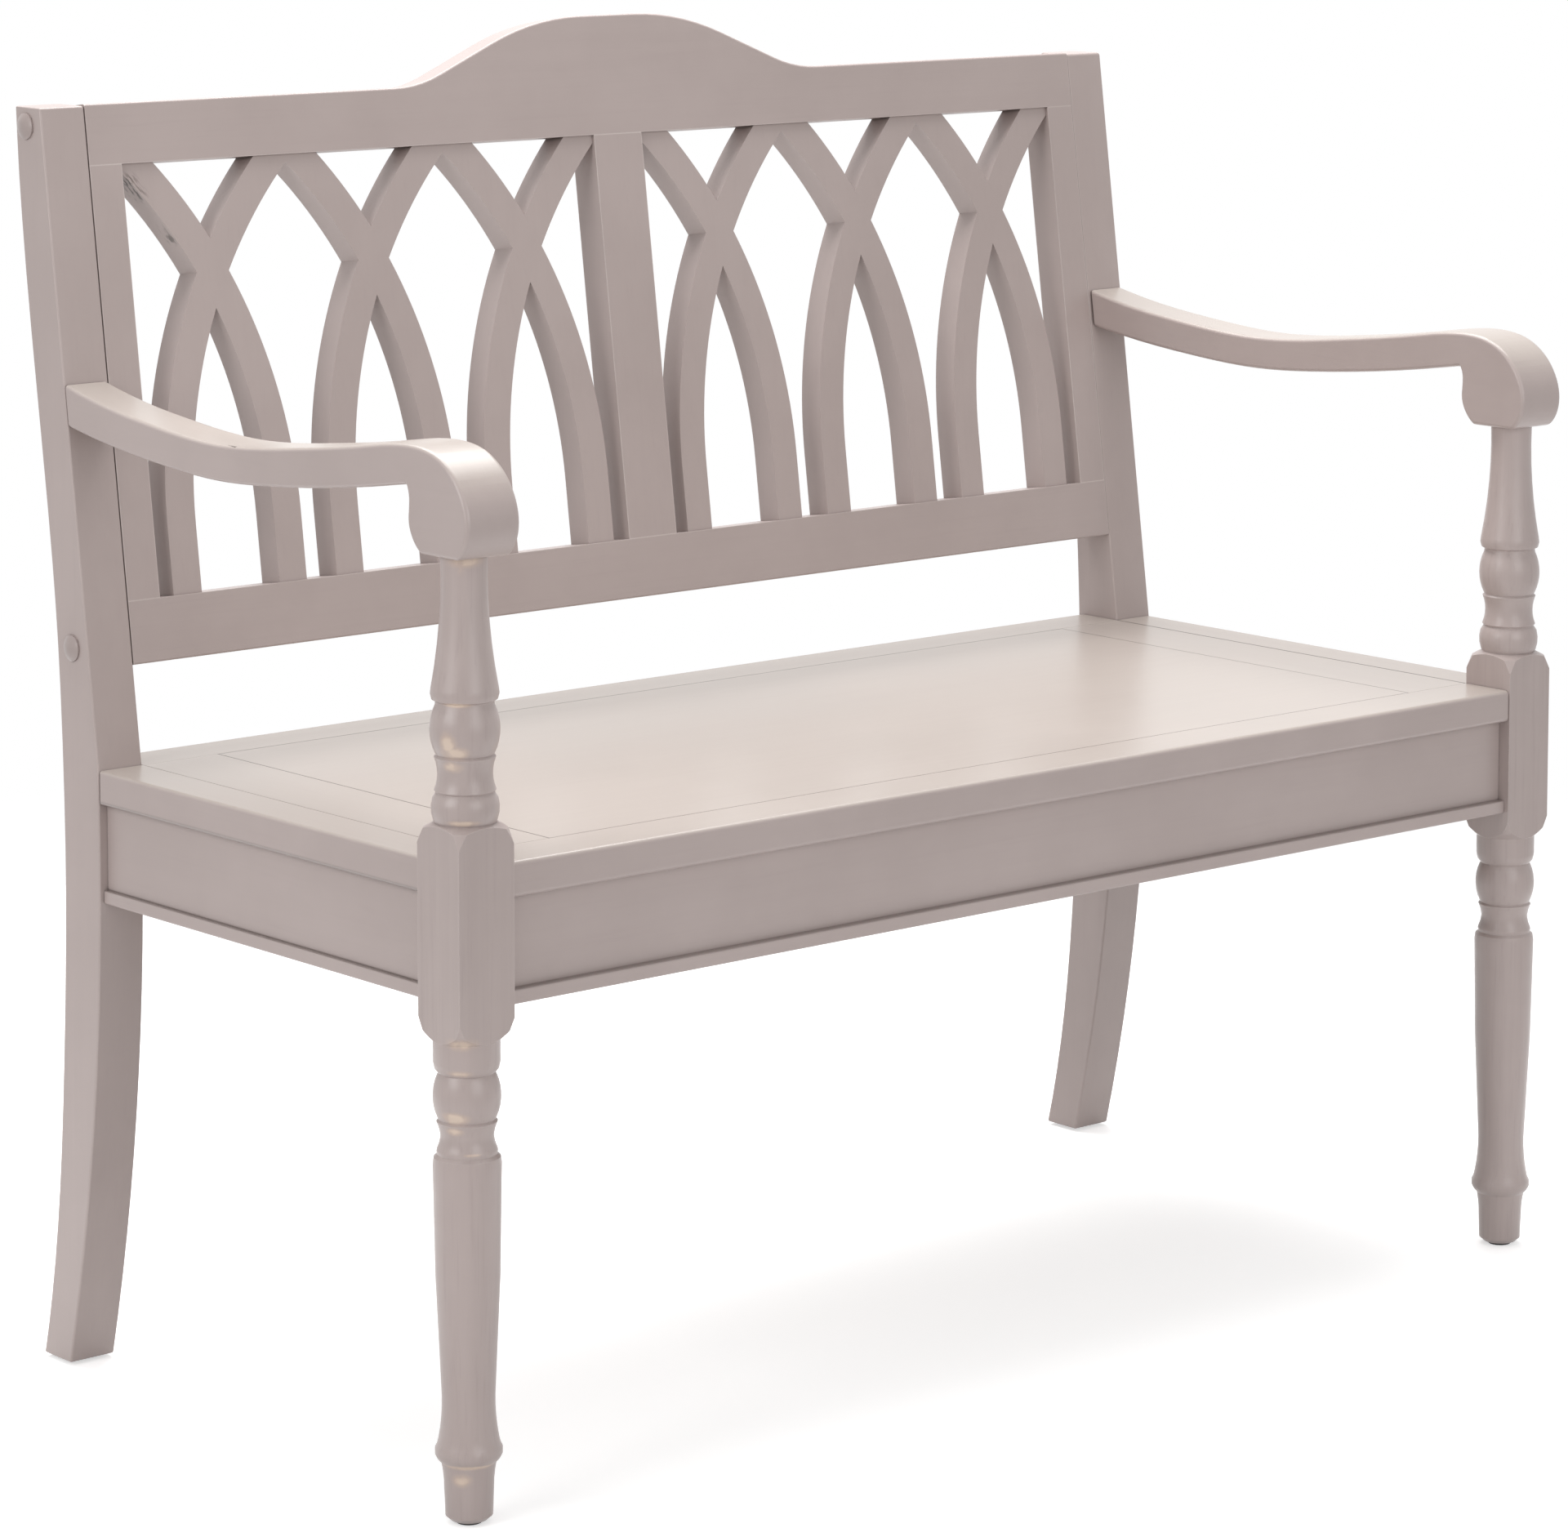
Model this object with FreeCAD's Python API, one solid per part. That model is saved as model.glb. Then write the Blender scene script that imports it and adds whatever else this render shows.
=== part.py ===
import FreeCAD, Part
import math
import os

# Deacons bench: turned front legs, bent rear posts, scrolled arms and a lattice back of crossing arcs.
# Millimetres, +Z up, +X to the viewer's right, -Y to the front.
# Everything is laid out with the front face of the leg blocks at Y = 0 and the floor at Z = 0.
# The whole bench is moved along Y at the end, so that its bounding box is centred on the origin.

# Overall sizes
block_size = 46.5
leg_axis_x = 519.8
seat_top = 457.0
seat_thick = 25.0
post_thick = 38.4
post_inside_leg = 8.65
post_front_y = 448.0
back_rake = 7.87
glide_height = 2.5

# Clearances
joint_gap = 0.3
peg_clearance = 0.05
panel_clearance = 0.25

# Leg block
block_top = 479.0
block_bottom = 345.0
shoulder_top = 484.6
shoulder_bottom = 334.7
shoulder_top_r = 20.5
neck_r = 23.0

# Rear post, its depth given at shares of its height above and below the seat
post_bend_start = 385.0
post_bend_radius = 1560.0
post_depths_above = ((1.0, 33.0), (0.505, 38.2), (0.212, 39.5), (0.0, 47.6))
post_depths_below = ((0.81, 46.2), (0.505, 44.3), (0.294, 39.6), (0.0, 35.5))
post_below_crest = 1.4

# Back frame, measured up the raked plane from seat level and back from its front face
frame_thick = 28.5
frame_stile = 28.2
lower_rail_bottom = 73.5
rail_round = 1.5
lower_rail_height = 46.8
crest_bottom = 441.5
crest_shoulder_height = 45.5
crest_rise = 49.5
hump_half = 214.0
hump_slope = 22.8
hump_hollow_radius = 113.5
hump_crown_radius = 229.0
mullion_half = 24.0
frame_tenon_length = 22.0
frame_tenon_thick = 10.0
frame_tenon_inset = 5.0

# Lattice
bays = 2
arches_per_bay = 3
bar_width = 25.0
bar_thick = 23.0
bar_foot_inset = 26.4
bar_straight = 172.0
bar_radius = 385.0
bar_sweep = 54.0
lattice_setback = 2.6
lattice_tenon_width = 12.0
lattice_tenon_thick = 6.0
lattice_tenon_length = 18.0
lattice_top_inset = 13.0

# Seat
seat_front_y = 1.0
seat_back_y = 492.0
seat_rail_depth = 46.0
seat_stile_width = 65.5
seat_edge_round = 3.5
end_strip_round = 3.0
tongue_thick = 8.0
tongue_length = 8.0
groove_depth = 9.0

# Aprons and their mouldings
apron_bottom = 357.9
apron_thick = 20.0
apron_setback_front = 10.5
apron_setback_side = 16.0
moulding_height = 10.2
moulding_proud_front = 6.0
moulding_proud_side = 3.4
moulding_round = 1.6
back_apron_inset = 2.0

# Arm
arm_bottom = 665.5
arm_width = 45.0
arm_inset = 1.45
arm_back_inset = 2.0
arm_bow = 0.8
arm_straight = 60.0
scroll_front_y = -9.0
arm_back_rise = 41.5
arm_back_height = 31.0
arm_top_points = ((430, 61.5), (370, 54.3), (285, 49.1), (200, 55.3), (110, 66.7), (54, 72.5))
arm_scroll_points = ((28, 68.7), (8, 57.3), (-5, 40.0), (-9, 24.5), (-6, 9.5), (2, 0.0))
arm_nose_points = ((44, 0.0), (53, 9.0), (57.4, 20.5), (56.8, 32.5), (59.5, 45.3))
arm_under_points = ((125, 35.7), (225, 25.5), (285, 22.7), (360, 26.3), (425, 32.8))

# Hardware
bolt_r = 3.0
bolt_hole_r = 3.2
bolt_head_r = 6.5
bolt_head_height = 5.0
bolt_recess_r = 7.5
bolt_recess_depth = 9.0
bolt_length = 74.0
bolt_behind_front = 20.0
bolt_above_lower_rail = 16.9
bolt_above_crest_rail = 32.5
cover_r = 9.75
cover_rim = 1.4
cover_dome = 3.0
cover_plug = 3.5
nut_r = 5.0
nut_length = 18.0
nut_from_end = 36.0
tenon_r = 10.0
tenon_length = 30.0
arm_tenon_thick = 10.0
arm_tenon_width = 22.0
arm_tenon_length = 30.0
glide_r = 10.0
glide_taper = 1.2
corner_block_thick = 22.0
corner_block_bottom = 372.0
corner_block_top = 411.0
corner_block_clear = 2.0
corner_bolt_grip = 30.0
corner_nut_across = 10.0
corner_nut_thick = 5.0
corner_bolt_tail = 3.0
corner_bore_lead = 20.0
bolt_end_clear = 0.2
cleat_size = 20.0
end_cleat_width = 27.0
cleat_end_gap = 60.0
bearer_width = 22.0
bearer_height = 40.0
screw_r = 2.0
screw_grip = 14.0
screw_end_spacing = 220.0
screw_long_spacing = 520.0
end_screw_inset = 10.0
front_screw_inset = 5.0
back_screw_inset = 9.0

V = FreeCAD.Vector
rake = math.radians(back_rake)
lower_rail_top = lower_rail_bottom + lower_rail_height
crest_shoulder = crest_bottom + crest_shoulder_height
crest_peak = crest_shoulder + crest_rise
post_top = seat_top + crest_shoulder * math.cos(rake) - post_below_crest
bolt_heights = (lower_rail_bottom + bolt_above_lower_rail, crest_bottom + bolt_above_crest_rail)
leg_y = block_size / 2.0
leg_outer_x = leg_axis_x + block_size / 2.0
leg_inner_x = leg_axis_x - block_size / 2.0
post_outer_x = leg_outer_x - post_inside_leg
post_inner_x = post_outer_x - post_thick
post_axis_x = post_outer_x - post_thick / 2.0
arm_outer_x = leg_outer_x - arm_inset
arm_inner_x = arm_outer_x - arm_width
arm_inner_back_x = post_inner_x + arm_back_inset
arm_back_top = arm_bottom + arm_back_rise + arm_back_height
arm_back_bottom = arm_bottom + arm_back_rise
seat_bottom = seat_top - seat_thick
side_apron_outer = leg_outer_x - apron_setback_side
side_apron_inner = side_apron_outer - apron_thick
front_apron_back = apron_setback_front + apron_thick
back_apron_front = seat_back_y - back_apron_inset - apron_thick


# Small helpers
def box(x0, x1, y0, y1, z0, z1):
    return Part.makeBox(x1 - x0, y1 - y0, z1 - z0, V(x0, y0, z0))


def mirror_x(shape):
    return shape.mirror(V(0, 0, 0), V(1, 0, 0))


def arc(a, b, c):
    return Part.Arc(a, b, c).toShape()


def line(a, b):
    return Part.makeLine(a, b)


def spline(points):
    curve = Part.BSplineCurve()
    curve.interpolate(Points=points)
    return curve.toShape()


def face_of(edges):
    return Part.Face(Part.Wire(edges))


def rod(radius, length, start, direction):
    # Hidden fasteners and their holes are six-sided, as far across the flats as they are thick.
    corner = radius / math.cos(math.radians(30))
    points = []
    for k in range(7):
        angle = math.radians(60 * k)
        points.append(V(corner * math.cos(angle), corner * math.sin(angle), 0))
    shape = Part.Face(Part.makePolygon(points)).extrude(V(0, 0, length))
    shape.Placement = FreeCAD.Placement(start, FreeCAD.Rotation(V(0, 0, 1), direction))
    return shape


def merge(shapes):
    whole = shapes[0]
    for shape in shapes[1:]:
        whole = whole.fuse(shape)
    return whole.removeSplitter()


def round_edges(shape, radius, wanted):
    chosen = []
    for edge in shape.Edges:
        middle = edge.valueAt((edge.FirstParameter + edge.LastParameter) / 2.0)
        if wanted(edge, middle):
            chosen.append(edge)
    return shape.makeFillet(radius, chosen)


def lies_along(edge, axis):
    a = edge.valueAt(edge.FirstParameter)
    b = edge.valueAt(edge.LastParameter)
    span = b.sub(a)
    return abs(abs(span.dot(axis)) - span.Length) < 0.01 * span.Length + 1e-6


def along_x(edge):
    return lies_along(edge, V(1, 0, 0))


def on_back(shape):
    # Raises a piece laid out in frame coordinates (X, depth, height) onto the raked back.
    placed = shape.copy()
    placed.rotate(V(0, 0, 0), V(1, 0, 0), -back_rake)
    placed.translate(V(0, post_front_y, seat_top))
    return placed


def post_front(z):
    # Y of the post's front face: raked above the seat, upright through it, swept back below.
    if z >= seat_top:
        return post_front_y + (z - seat_top) * math.tan(rake)
    if z >= post_bend_start:
        return post_front_y
    drop = post_bend_start - z
    return post_front_y + post_bend_radius - math.sqrt(post_bend_radius ** 2 - drop ** 2)


# Front leg, one turned piece with a square block
def turned(start, steps):
    # Solid turned under a chain of lines to (r, z) and of arcs through (r, z) to (r, z).
    here = V(start[0], 0, start[1])
    edges = [line(V(0, 0, here.z), here)]
    for step in steps:
        there = V(step[-2], 0, step[-1])
        if len(step) == 2:
            edges.append(line(here, there))
        else:
            edges.append(arc(here, V(step[0], 0, step[1]), there))
        here = there
    edges.append(line(here, V(0, 0, here.z)))
    edges.append(line(V(0, 0, here.z), V(0, 0, start[1])))
    return face_of(edges).revolve(V(0, 0, 0), V(0, 0, 1), 360)


def upper_turning():
    # Vase, ball, cove and bead, each parted from the next by a fine groove.
    steps = [
        (17.0, 620.7, 22.9, 576.0),
        (23.4, 572.0),
        (22.4, 568.2),
        (20.0, 566.8),
        (20.2, 564.2),
        (23.9, 547.5, 20.2, 531.4),
        (19.6, 530.4),
        (21.0, 529.0),
        (18.8, 517.2, 21.0, 506.4),
        (19.8, 504.8),
        (22.3, 501.0),
        (23.2, 496.0),
        (23.0, 491.0),
        (21.8, 486.2),
        (20.6, shoulder_top - 1.5),
    ]
    return turned((16.1, arm_bottom), steps)


def lower_turning():
    # Neck, ball, cove, long vase, ring and foot.
    steps = [
        (23.0, 320.5),
        (22.0, 315.8),
        (19.4, 312.6),
        (20.3, 311.2),
        (23.4, 296.6, 20.1, 281.8),
        (19.5, 280.6),
        (20.9, 279.2),
        (19.2, 274.4),
        (18.3, 269.6),
        (19.0, 264.8),
        (20.8, 260.0),
        (21.0, 258.6),
        (20.6, 256.6),
        (22.9, 254.6),
        (23.6, 250.0),
        (22.2, 173.0),
        (18.6, 96.0),
        (18.5, 77.0, 20.6, 60.0),
        (21.6, 55.5),
        (23.1, 52.4),
        (23.1, 48.4),
        (21.6, 45.4),
        (18.8, 42.4),
        (17.4, 33.0, 17.0, 24.0),
        (16.3, glide_height + 3.0),
        (13.0, glide_height),
    ]
    return turned((neck_r, shoulder_bottom + 1.0), steps)


def leg_block():
    half = block_size / 2.0
    corner = half * math.sqrt(2.0)
    square = box(-half, half, -half, half, shoulder_bottom, shoulder_top)
    steps = [
        (28.6, block_top + 1.5),
        (corner + 0.8, block_top - 11.0),
        (corner + 0.8, block_bottom + 8.0),
        (29.6, block_bottom - 3.4),
        (22.5, shoulder_bottom),
    ]
    return square.common(turned((shoulder_top_r, shoulder_top), steps))


def front_leg():
    leg = merge([upper_turning(), leg_block(), lower_turning()])
    tenon = Part.makeCylinder(tenon_r, tenon_length, V(0, 0, arm_bottom))
    leg = merge([leg, tenon])
    leg.translate(V(leg_axis_x, leg_y, 0))
    return leg.cut(corner_bolt_bore(front=True))


# Rear post, one bent piece
def post_back():
    points = []
    for low, high, depths in (
        (seat_top, post_top, post_depths_above),
        (glide_height, seat_top, post_depths_below),
    ):
        for share, depth in depths:
            z = low + share * (high - low)
            points.append(V(0, post_front(z) + depth, z))
    return points


def rear_post():
    front_foot = post_front(glide_height)
    half_drop = (post_bend_start + glide_height) / 2.0
    back = post_back()
    edges = [
        line(V(0, front_foot, glide_height), back[-1]),
        spline(list(reversed(back))),
        line(back[0], V(0, post_front(post_top), post_top)),
        line(V(0, post_front(post_top), post_top), V(0, post_front_y, seat_top)),
        line(V(0, post_front_y, seat_top), V(0, post_front_y, post_bend_start)),
        arc(
            V(0, post_front_y, post_bend_start),
            V(0, post_front(half_drop), half_drop),
            V(0, front_foot, glide_height),
        ),
    ]
    post = face_of(edges).extrude(V(post_thick, 0, 0))
    post.translate(V(post_inner_x, 0, 0))
    for height in bolt_heights:
        post = post.cut(on_back(bolt_bore(height)))
    post = post.cut(corner_bolt_bore(front=False))
    return post.cut(arm_tenon())


def post_foot_y():
    return (post_front(glide_height) + post_back()[-1].y) / 2.0


# Arm with its scroll
def arm_points(pairs):
    # Points given as Y and height above the underside of the scroll.
    return [V(0, y, arm_bottom + rise) for y, rise in pairs]


def arm_profile():
    low_back = V(0, post_front(arm_back_bottom), arm_back_bottom)
    high_back = V(0, post_front(arm_back_top), arm_back_top)
    top = [high_back] + arm_points(arm_top_points + arm_scroll_points)
    nose = arm_points(arm_nose_points)
    under = [nose[-1]] + arm_points(arm_under_points) + [low_back]
    return face_of([
        spline(top),
        line(top[-1], nose[0]),
        spline(nose),
        spline(under),
        line(low_back, high_back),
    ])


def arm_plan():
    back = post_front(arm_back_top) + 5.0
    front = scroll_front_y - 5.0
    bow = V((arm_outer_x + post_outer_x) / 2.0 + arm_bow, (arm_straight + back) / 2.0, 0)
    points = [
        V(arm_inner_x, front, 0),
        V(arm_outer_x, front, 0),
        V(arm_outer_x, arm_straight, 0),
        V(post_outer_x, back, 0),
        V(arm_inner_back_x, back, 0),
        V(arm_inner_x, arm_straight, 0),
    ]
    edges = [
        line(points[0], points[1]),
        line(points[1], points[2]),
        arc(points[2], bow, points[3]),
        line(points[3], points[4]),
        line(points[4], points[5]),
        line(points[5], points[0]),
    ]
    return face_of(edges).extrude(V(0, 0, 2.0 * arm_back_top))


def arm():
    reach = 2.0 * arm_width
    blank = arm_profile().extrude(V(2.0 * reach, 0, 0))
    blank.translate(V(leg_axis_x - reach, 0, 0))
    piece = blank.common(arm_plan())
    socket_r = tenon_r + peg_clearance
    socket = Part.makeCylinder(socket_r, tenon_length + 1.0, V(leg_axis_x, leg_y, arm_bottom - 0.5))
    return piece.cut(socket).cut(arm_tenon())


def arm_tenon():
    # A loose tenon, half in the arm and half in the post.
    z = (arm_back_top + arm_back_bottom) / 2.0
    y = post_front(z)
    x = (arm_inner_back_x + post_outer_x) / 2.0
    x0 = x - arm_tenon_width / 2.0
    y0 = y - arm_tenon_length / 2.0
    z0 = z - arm_tenon_thick / 2.0
    return box(x0, x0 + arm_tenon_width, y0, y0 + arm_tenon_length, z0, z0 + arm_tenon_thick)


# Back frame
def frame_tenon(x0, x1, s0, s1):
    t0 = (frame_thick - frame_tenon_thick) / 2.0
    return box(x0, x1, t0, t0 + frame_tenon_thick, s0, s1)


def crest_outline():
    # Level shoulders, a hollow arc, a straight slope and a crowned arc up to the short level top.
    half = post_inner_x - joint_gap
    slope = math.radians(hump_slope)
    rise_hollow = hump_hollow_radius * (1.0 - math.cos(slope))
    rise_crown = hump_crown_radius * (1.0 - math.cos(slope))
    rise_straight = crest_peak - crest_shoulder - rise_hollow - rise_crown
    x0 = -hump_half
    x1 = x0 + hump_hollow_radius * math.sin(slope)
    x2 = x1 + rise_straight / math.tan(slope)
    x3 = x2 + hump_crown_radius * math.sin(slope)
    middle = slope / 2.0
    hollow_x = x0 + hump_hollow_radius * math.sin(middle)
    hollow_z = crest_shoulder + hump_hollow_radius * (1.0 - math.cos(middle))
    crown_x = x3 - hump_crown_radius * math.sin(middle)
    crown_z = crest_peak - hump_crown_radius * (1.0 - math.cos(middle))
    edges = [
        line(V(-half, 0, crest_bottom), V(half, 0, crest_bottom)),
        line(V(x3, 0, crest_peak), V(-x3, 0, crest_peak)),
    ]
    for side in (1, -1):
        p0 = V(side * x0, 0, crest_shoulder)
        p1 = V(side * x1, 0, crest_shoulder + rise_hollow)
        p2 = V(side * x2, 0, crest_peak - rise_crown)
        p3 = V(side * x3, 0, crest_peak)
        edges.append(line(V(-side * half, 0, crest_bottom), V(-side * half, 0, crest_shoulder)))
        edges.append(line(V(-side * half, 0, crest_shoulder), p0))
        edges.append(arc(p0, V(side * hollow_x, 0, hollow_z), p1))
        edges.append(line(p1, p2))
        edges.append(arc(p2, V(side * crown_x, 0, crown_z), p3))
    return Part.__sortEdges__(edges)


def crest_rail():
    rail = face_of(crest_outline()).extrude(V(0, frame_thick, 0))
    for tenon in stile_tenons(True) + lattice_tenons(True):
        rail = rail.cut(tenon)
    return rail.cut(rail_bolt_bores(bolt_heights[1]))


def lower_back_rail():
    half = post_inner_x - joint_gap
    rail = box(-half, half, 0, frame_thick, lower_rail_bottom, lower_rail_top)
    rail = round_edges(rail, rail_round, lambda e, m: m.z < lower_rail_bottom + 0.1 and along_x(e))
    for tenon in stile_tenons(False) + lattice_tenons(False):
        rail = rail.cut(tenon)
    return rail.cut(rail_bolt_bores(bolt_heights[0]))


def stile_tenon(x0, x1, top):
    x0 = x0 + frame_tenon_inset
    x1 = x1 - frame_tenon_inset
    if top:
        return frame_tenon(x0, x1, crest_bottom, crest_bottom + frame_tenon_length)
    return frame_tenon(x0, x1, lower_rail_top - frame_tenon_length, lower_rail_top)


def stile_span():
    outer = post_inner_x - joint_gap
    return post_inner_x - frame_stile, outer


def stile_tenons(top):
    x0, x1 = stile_span()
    spans = ((-mullion_half, mullion_half), (x0, x1), (-x1, -x0))
    return [stile_tenon(left, right, top) for left, right in spans]


def upright(x0, x1):
    bar = box(x0, x1, 0, frame_thick, lower_rail_top, crest_bottom)
    return merge([bar, stile_tenon(x0, x1, True), stile_tenon(x0, x1, False)])


# Lattice of crossing arcs, halved together where they cross
def arch_width():
    return (post_inner_x - frame_stile - mullion_half) / arches_per_bay


def bar_strip(t0, t1):
    # A bar that rises straight from its foot, then bends to the left, longer than needed at the top.
    foot = arch_width() - bar_foot_inset
    centre = foot - bar_radius
    sweep = math.radians(bar_sweep)
    edges = []
    ends = []
    for offset in (bar_width / 2.0, -bar_width / 2.0):
        r = bar_radius + offset
        a = V(foot + offset, t0, bar_straight)
        b = V(centre + r * math.cos(sweep / 2), t0, bar_straight + r * math.sin(sweep / 2))
        c = V(centre + r * math.cos(sweep), t0, bar_straight + r * math.sin(sweep))
        edges.append(line(V(foot + offset, t0, lower_rail_top), a))
        edges.append(arc(a, b, c))
        ends.append((V(foot + offset, t0, lower_rail_top), c))
    edges.append(line(ends[0][0], ends[1][0]))
    edges.append(line(ends[0][1], ends[1][1]))
    return Part.Face(Part.Wire(Part.__sortEdges__(edges))).extrude(V(0, t1 - t0, 0))


def mirror_in_arch(shape):
    return shape.mirror(V(arch_width() / 2.0, 0, 0), V(1, 0, 0))


def lattice_pair():
    t0 = lattice_setback
    t1 = t0 + bar_thick
    half = (t0 + t1) / 2.0
    bounds = box(0, arch_width(), t0, t1, lower_rail_top, crest_bottom)
    left_leaning = bar_strip(t0, t1).common(bounds)
    right_leaning = mirror_in_arch(left_leaning)
    front_of_right = mirror_in_arch(bar_strip(half, t1))
    back_of_left = bar_strip(t0, half)
    return left_leaning.cut(front_of_right), right_leaning.cut(back_of_left)


def arch_origins():
    width = arch_width()
    starts = []
    for bay in range(bays):
        first = mullion_half if bay == 1 else -(post_inner_x - frame_stile)
        for number in range(arches_per_bay):
            starts.append(first + number * width)
    return starts


def tenon_spots(top):
    # X offset in an arch of the tenons that fix the two bars to a rail.
    inset = lattice_top_inset if top else bar_foot_inset
    return inset, arch_width() - inset


def lattice_tenons(top):
    # Loose tenons, half in a bar and half in the rail.
    s = crest_bottom if top else lower_rail_top
    t = lattice_setback + (bar_thick - lattice_tenon_thick) / 2.0
    half = lattice_tenon_length / 2.0
    tenons = []
    for start in arch_origins():
        for spot in tenon_spots(top):
            x = start + spot - lattice_tenon_width / 2.0
            tenon = box(x, x + lattice_tenon_width, t, t + lattice_tenon_thick, s - half, s + half)
            tenons.append(tenon)
    return tenons


def lattice_bars():
    left_leaning, right_leaning = lattice_pair()
    tenons = lattice_tenons(True) + lattice_tenons(False)
    bars = {}
    for number, start in enumerate(arch_origins(), 1):
        for name, bar in (("a", left_leaning), ("b", right_leaning)):
            placed = bar.copy()
            placed.translate(V(start, 0, 0))
            for tenon in tenons:
                if placed.BoundBox.intersect(tenon.BoundBox):
                    placed = placed.cut(tenon)
            bars["lattice_bar_%d%s" % (number, name)] = placed
    return bars


# Bolts that join the posts to the back frame
def bolt_start(s):
    # The bolt head's seat, in frame coordinates.
    return V(post_outer_x - bolt_recess_depth, bolt_behind_front, s)


def bolt_bore(s):
    seat = bolt_start(s)
    shank = rod(bolt_hole_r, bolt_length + 1.0, seat, V(-1, 0, 0))
    recess = rod(bolt_recess_r, bolt_recess_depth + 1.0, seat, V(1, 0, 0))
    return shank.fuse(recess)


def nut_at(s, radius, length):
    x = post_inner_x - nut_from_end
    y0 = frame_thick + 0.2 - length
    return rod(radius, length, V(x, y0, s), V(0, 1, 0))


def rail_bolt_bores(s):
    shank = rod(bolt_hole_r, bolt_length + 1.0, bolt_start(s), V(-1, 0, 0))
    nut = nut_at(s, nut_r + peg_clearance, nut_length + 1.0)
    bore = shank.fuse(nut)
    return bore.fuse(mirror_x(bore))


def back_bolt(s):
    seat = bolt_start(s)
    shank = rod(bolt_r, bolt_length, seat, V(-1, 0, 0))
    head = rod(bolt_head_r, bolt_head_height, seat, V(1, 0, 0))
    return merge([shank, head])


def barrel_nut(s):
    nut = nut_at(s, nut_r, nut_length)
    nut.translate(V(0, -0.5, 0))
    return nut.cut(rod(bolt_r, bolt_length, bolt_start(s), V(-1, 0, 0)))


def bolt_cover(s):
    # A low dome on a short rim, with a plug that fills the mouth of the bolt's recess.
    ball = (cover_r ** 2 + cover_dome ** 2) / (2.0 * cover_dome)
    height = cover_rim + cover_dome
    face = V(post_outer_x, bolt_behind_front, s)
    sphere = Part.makeSphere(ball, face.add(V(height - ball, 0, 0)))
    dome = sphere.common(Part.makeCylinder(cover_r, height, face, V(1, 0, 0)))
    plug = rod(bolt_recess_r - peg_clearance, cover_plug, face, V(-1, 0, 0))
    return merge([dome, plug])


def on_both_sides(make):
    pieces = []
    for s in bolt_heights:
        piece = on_back(make(s))
        pieces.append(piece)
        pieces.append(mirror_x(piece))
    return pieces


# Seat, a flat panel in a frame
def grooved(shape, x0, x1, y0, y1):
    # Ploughs the groove for a tongue into a rail or stile.
    z0 = seat_top - seat_thick / 2.0 - tongue_thick / 2.0 - panel_clearance
    z1 = seat_top - seat_thick / 2.0 + tongue_thick / 2.0 + panel_clearance
    return shape.cut(box(x0, x1, y0, y1, z0, z1))


def tongue(x0, x1, y0, y1):
    z0 = seat_top - seat_thick / 2.0 - tongue_thick / 2.0
    return box(x0, x1, y0, y1, z0, z0 + tongue_thick)


def seat_lines():
    front = seat_front_y + seat_rail_depth
    back = post_front_y - 1.0
    side = post_inner_x - seat_stile_width
    return front, back, side


def seat_front_rail():
    front, back, side = seat_lines()
    half = leg_inner_x - joint_gap
    rail = box(-half, half, seat_front_y, front - joint_gap / 2, seat_bottom, seat_top)
    rail = round_edges(rail, seat_edge_round, lambda e, m: m.y < seat_front_y + 0.1 and along_x(e))
    rail = grooved(rail, -post_inner_x - 1, post_inner_x + 1, front - groove_depth, front + 1)
    for x, y in seat_screw_spots():
        rail = rail.cut(screw_bore(x, y))
    return rail


def seat_back_rail():
    front, back, side = seat_lines()
    half = post_inner_x - joint_gap
    rail = box(-half, half, back + joint_gap / 2, seat_back_y, seat_bottom, seat_top)
    rail = round_edges(rail, seat_edge_round, lambda e, m: m.y > seat_back_y - 0.1 and along_x(e))
    rail = grooved(rail, -post_inner_x - 1, post_inner_x + 1, back - 1, back + groove_depth)
    for x, y in seat_screw_spots():
        rail = rail.cut(screw_bore(x, y))
    return rail


def seat_stile():
    front, back, side = seat_lines()
    outer = post_inner_x - joint_gap
    stile = box(side, outer, front + joint_gap / 2, back - joint_gap / 2, seat_bottom, seat_top)
    stile = merge([stile, tongue(side, outer, front - tongue_length, back + tongue_length)])
    stile = grooved(stile, side - 1, side + groove_depth, front - groove_depth, back + groove_depth)
    for x, y in seat_screw_spots():
        stile = stile.cut(screw_bore(x, y))
    return stile


def seat_panel():
    front, back, side = seat_lines()
    half = side - joint_gap
    panel = box(-half, half, front + joint_gap / 2, back - joint_gap / 2, seat_bottom, seat_top)
    reach = side + tongue_length
    edge = tongue(-reach, reach, front - tongue_length, back + tongue_length)
    return merge([panel, edge])


def seat_end_strip():
    y0 = block_size + joint_gap
    y1 = post_front_y - joint_gap
    x0 = post_inner_x + joint_gap
    strip = box(x0, post_outer_x, y0, y1, seat_bottom, seat_top)
    return round_edges(strip, end_strip_round, lambda e, m: end_strip_rounding(e, m, y1))


def end_strip_rounding(edge, middle, back):
    outer_long = middle.x > post_outer_x - 0.1 and lies_along(edge, V(0, 1, 0))
    back_corner = middle.x > post_outer_x - 0.1 and middle.y > back - 0.1 and lies_along(edge, V(0, 0, 1))
    return outer_long or back_corner


# Aprons and mouldings under the seat
def front_apron():
    half = leg_inner_x - joint_gap / 2
    return box(-half, half, apron_setback_front, front_apron_back, apron_bottom, seat_bottom)


def back_apron():
    half = post_inner_x - joint_gap / 2
    front = back_apron_front
    return box(-half, half, front, front + apron_thick, apron_bottom, seat_bottom)


def side_apron():
    y0 = block_size + joint_gap / 2
    y1 = post_front_y - joint_gap / 2
    return box(side_apron_inner, side_apron_outer, y0, y1, apron_bottom, seat_bottom)


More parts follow.
